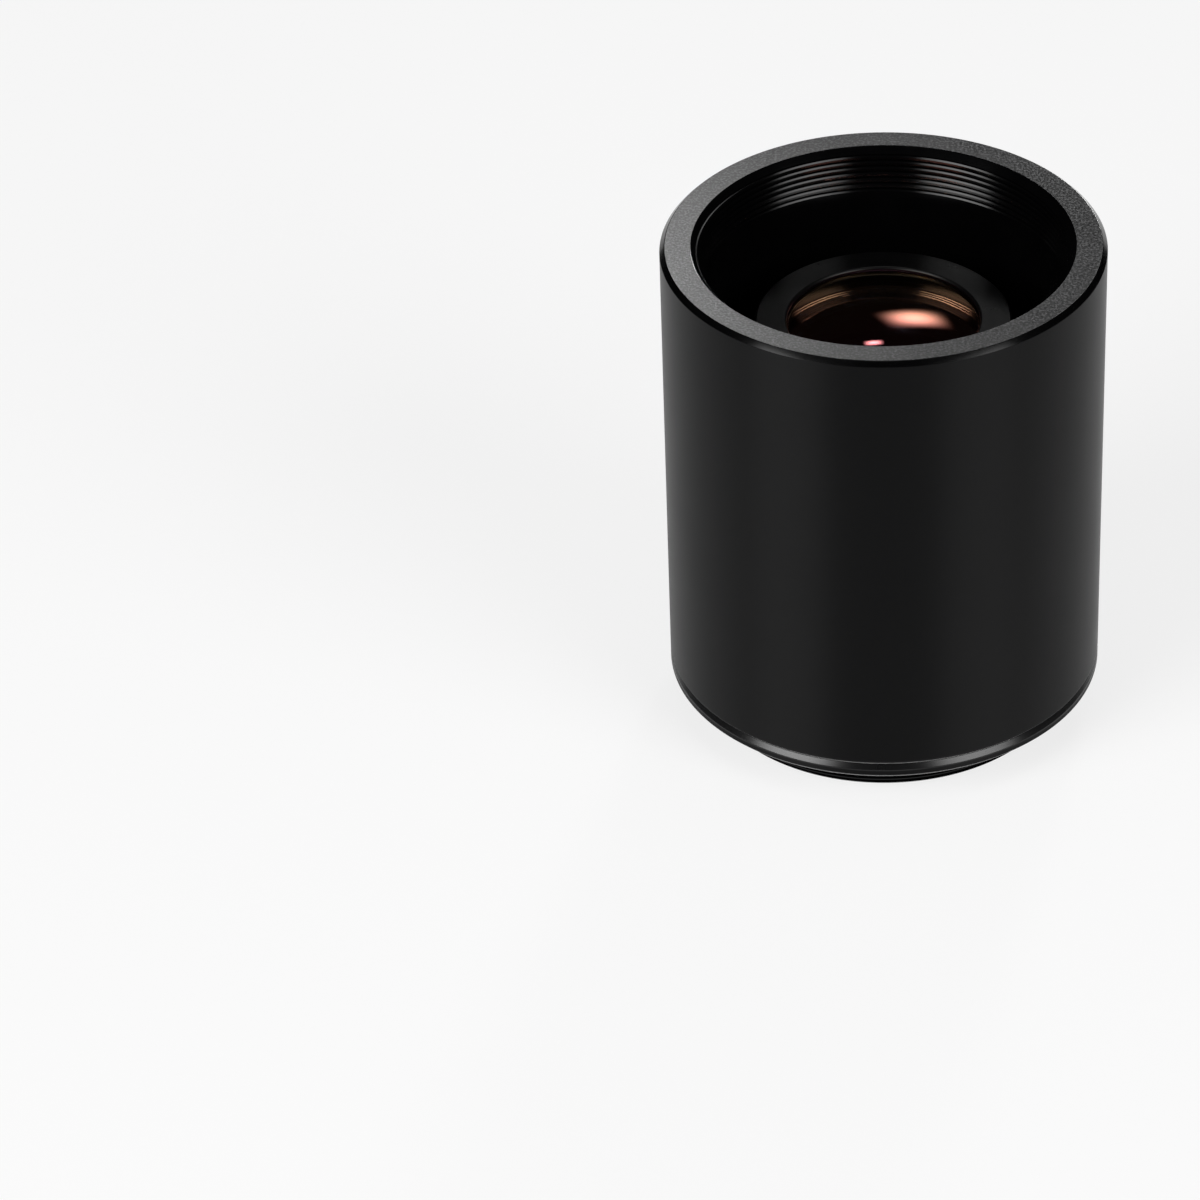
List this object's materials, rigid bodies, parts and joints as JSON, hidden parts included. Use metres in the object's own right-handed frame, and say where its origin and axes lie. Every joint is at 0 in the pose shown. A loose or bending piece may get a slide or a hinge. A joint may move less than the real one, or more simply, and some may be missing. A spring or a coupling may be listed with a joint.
{
  "type": "camera teleconverter",
  "caption": "Black cylindrical screw-mount teleconverter with a female thread in its mouth, a male thread at its rear and a recessed lens cell that doubles a lens's focal length.",
  "frame": {"origin": "on the optical axis, at the end of the rear thread, where the part stands on a table", "axes": "+Z along the optical axis, from the rear thread to the front mouth; X and Y are free, as the part is turned"},
  "size_m": [0.05, 0.05, 0.06],
  "materials": {
    "black_anodised": "satin black anodised",
    "matt_black": "matt black",
    "coated_glass": "polished, amber anti-reflection coating",
    "clear_glass": "polished"
  },
  "bodies": {
    "root": {"barrel": "black_anodised", "rear_mount": "black_anodised", "rear_baffle": "matt_black", "lens_cell": "matt_black", "cell_lock_ring": "matt_black", "front_ring": "black_anodised", "front_element": "coated_glass", "element_spacer": "matt_black", "doublet_front_element": "clear_glass", "doublet_rear_element": "clear_glass", "rear_element": "clear_glass", "rear_retaining_ring": "matt_black"}
  },
  "joints": []
}
